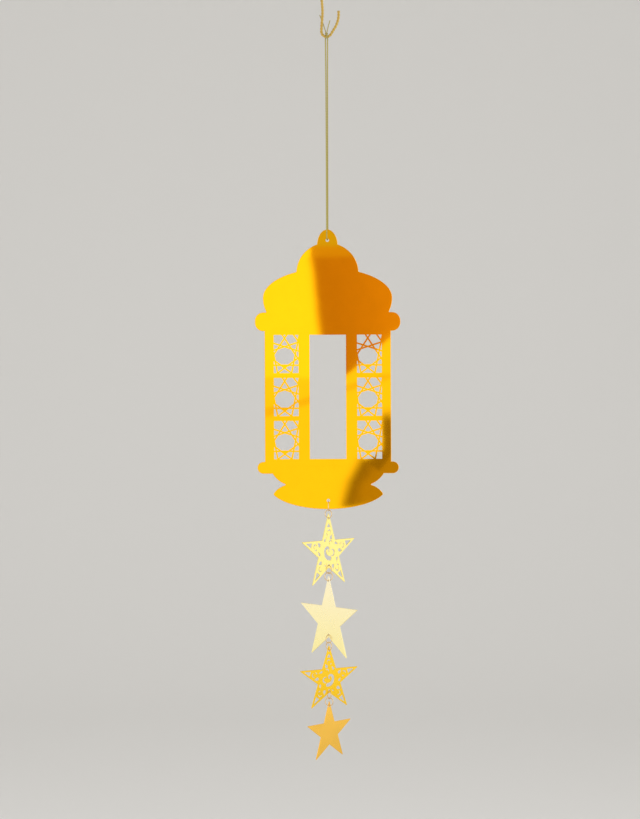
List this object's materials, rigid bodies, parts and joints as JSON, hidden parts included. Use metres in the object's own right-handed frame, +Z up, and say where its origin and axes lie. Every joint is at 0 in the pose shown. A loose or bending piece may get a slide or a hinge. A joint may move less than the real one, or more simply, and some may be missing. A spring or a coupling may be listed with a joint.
{
  "type": "hanging lantern ornament",
  "caption": "Flat gold lantern with a window and lattice sides, hung by a doubled thread from a wire hook, with a chain of plain and pierced stars linked below it.",
  "frame": {"origin": "inside of the hook's upper crook, where the ornament hangs on a nail or rod", "axes": "+Z up along the hanging line, +X to the right of the lantern seen from its front, +Y to its back"},
  "size_m": [0.08, 0.0342, 0.4246],
  "materials": {
    "plate": "mirror polished gold",
    "pale_star": "bright pale gold",
    "gold_star": "bright gold",
    "ring_wire": "bright gold wire",
    "hook_wire": "twisted gold wire",
    "thread": "metallic gold thread"
  },
  "bodies": {
    "hook": {"hanging_hook": "hook_wire", "thread_knot": "thread"},
    "thread_upper": {"thread_upper": "thread"},
    "thread_lower": {"thread_lower": "thread"},
    "lantern": {"lantern_plate": "plate"},
    "ring_1_upper": {"ring_1_upper": "ring_wire"},
    "ring_1_lower": {"ring_1_lower": "ring_wire"},
    "filigree_star_upper": {"filigree_star_upper": "pale_star"},
    "ring_2_upper": {"ring_2_upper": "ring_wire"},
    "ring_2_lower": {"ring_2_lower": "ring_wire"},
    "plain_star_upper": {"plain_star_upper": "pale_star"},
    "ring_3_upper": {"ring_3_upper": "ring_wire"},
    "ring_3_lower": {"ring_3_lower": "ring_wire"},
    "filigree_star_lower": {"filigree_star_lower": "gold_star"},
    "ring_4_upper": {"ring_4_upper": "ring_wire"},
    "ring_4_lower": {"ring_4_lower": "ring_wire"},
    "plain_star_lower": {"plain_star_lower": "gold_star"}
  },
  "joints": [
    {"name": "thread_swing", "type": "hinge", "parent": "hook", "child": "thread_upper", "pos_m": [0, 0, -0.02837], "axis": [1, 0, 0], "range_deg": [-25, 25]},
    {"name": "thread_twist", "type": "hinge", "parent": "thread_upper", "child": "thread_lower", "pos_m": [0, 0, -0.08332], "axis": [0, 0, 1], "range_deg": [-180, 180]},
    {"name": "lantern_swing", "type": "hinge", "parent": "thread_lower", "child": "lantern", "pos_m": [0, 0, -0.13828], "axis": [0, 1, 0], "range_deg": [-20, 20]},
    {"name": "ring_1_upper_tilt", "type": "hinge", "parent": "lantern", "child": "ring_1_upper", "pos_m": [0, 0, -0.28221], "axis": [1, 0, 0], "range_deg": [-15, 15]},
    {"name": "ring_1_lower_swing", "type": "hinge", "parent": "ring_1_upper", "child": "ring_1_lower", "pos_m": [0, 0, -0.28751], "axis": [0, -1, 0], "range_deg": [-20, 20]},
    {"name": "filigree_star_upper_turn", "type": "hinge", "parent": "ring_1_lower", "child": "filigree_star_upper", "pos_m": [0, 0, -0.29145], "axis": [0, 0, 1], "range_deg": [-30, 44]},
    {"name": "ring_2_upper_tilt", "type": "hinge", "parent": "filigree_star_upper", "child": "ring_2_upper", "pos_m": [0, 0, -0.3175], "axis": [0.7071, 0.7071, 0], "range_deg": [-25, 25]},
    {"name": "ring_2_lower_swing", "type": "hinge", "parent": "ring_2_upper", "child": "ring_2_lower", "pos_m": [0, 0, -0.322], "axis": [0.7071, -0.7071, 0], "range_deg": [-25, 25]},
    {"name": "plain_star_upper_turn", "type": "hinge", "parent": "ring_2_lower", "child": "plain_star_upper", "pos_m": [0, 0, -0.32594], "axis": [0, 0, 1], "range_deg": [-58, 14]},
    {"name": "ring_3_upper_tilt", "type": "hinge", "parent": "plain_star_upper", "child": "ring_3_upper", "pos_m": [0, 0, -0.35573], "axis": [0.6691, -0.7431, 0], "range_deg": [-25, 25]},
    {"name": "ring_3_lower_swing", "type": "hinge", "parent": "ring_3_upper", "child": "ring_3_lower", "pos_m": [0, 0, -0.36023], "axis": [-0.7431, -0.6691, 0], "range_deg": [-25, 25]},
    {"name": "filigree_star_lower_turn", "type": "hinge", "parent": "ring_3_lower", "child": "filigree_star_lower", "pos_m": [0, 0, -0.36417], "axis": [0, 0, 1], "range_deg": [-24, 50]},
    {"name": "ring_4_upper_tilt", "type": "hinge", "parent": "filigree_star_lower", "child": "ring_4_upper", "pos_m": [0, 0, -0.38636], "axis": [-0.891, -0.454, 0], "range_deg": [-25, 25]},
    {"name": "ring_4_lower_swing", "type": "hinge", "parent": "ring_4_upper", "child": "ring_4_lower", "pos_m": [0, 0, -0.39086], "axis": [-0.454, 0.891, 0], "range_deg": [-25, 25]},
    {"name": "plain_star_lower_turn", "type": "hinge", "parent": "ring_4_lower", "child": "plain_star_lower", "pos_m": [0, 0, -0.3948], "axis": [0, 0, 1], "range_deg": [-10, 60]}
  ]
}
